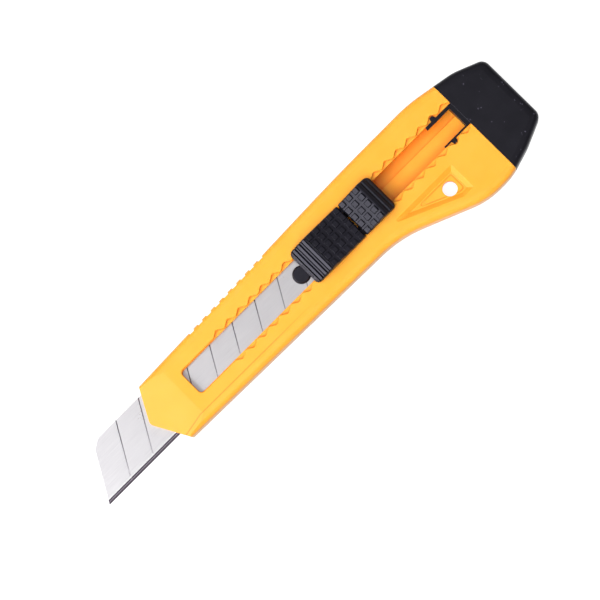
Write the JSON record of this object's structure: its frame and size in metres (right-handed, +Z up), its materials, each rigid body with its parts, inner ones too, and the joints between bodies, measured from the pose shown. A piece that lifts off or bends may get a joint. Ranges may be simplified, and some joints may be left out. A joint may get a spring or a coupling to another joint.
{
  "type": "snap-off utility knife",
  "caption": "Snap-off utility knife: moulded handle, scored steel blade on a sliding carrier, thumb slide with a lock pad, notched slot, hang hole and pull-off end cap.",
  "frame": {"origin": "centre of the outline with the blade extended, on the surface that the knife's flat back rests on", "axes": "+X along the knife to the blade's tip, +Y across it to the cutting edge, +Z up from the back to the thumb slide"},
  "size_m": [0.1876, 0.0404, 0.0158],
  "materials": {
    "housing_plastic": "moulded ABS, smooth, semi-gloss",
    "cap_plastic": "moulded polypropylene, fine satin",
    "slide_plastic": "moulded polyamide, satin, grip pattern on the pads",
    "blade_steel": "ground carbon tool steel",
    "spring_steel": "plain spring steel"
  },
  "bodies": {
    "handle": {"housing": "housing_plastic"},
    "cap": {"end_cap": "cap_plastic", "latch_arm_back": "cap_plastic", "latch_arm_edge": "cap_plastic"},
    "carrier": {"blade_carrier": "slide_plastic", "front_pad": "slide_plastic", "pivot_pin": "spring_steel", "detent_spring": "spring_steel", "lock_spring": "spring_steel", "blade_base": "blade_steel", "blade_segment_1": "blade_steel", "blade_segment_2": "blade_steel", "blade_segment_3": "blade_steel", "blade_segment_4": "blade_steel", "blade_segment_5": "blade_steel", "blade_segment_6": "blade_steel", "blade_segment_7": "blade_steel"},
    "lock": {"lock_pad": "slide_plastic"}
  },
  "joints": [
    {"name": "slider_slide", "type": "slide", "parent": "handle", "child": "carrier", "axis": [1, 0, 0], "range_m": [-0.0309, 0.04635], "deforming": ["detent_spring"]},
    {"name": "lock_press", "type": "hinge", "parent": "carrier", "child": "lock", "pos_m": [-0.0373, -0.006, 0.012], "axis": [0, 1, 0], "range_deg": [0, 6.3], "stiffness_Nm_per_rad": 0.2, "springref_deg": -5.73, "deforming": ["lock_spring"]},
    {"name": "cap_pull", "type": "slide", "parent": "handle", "child": "cap", "axis": [-1, 0, 0], "range_m": [0, 0.035], "deforming": ["latch_arm_back", "latch_arm_edge"]}
  ]
}
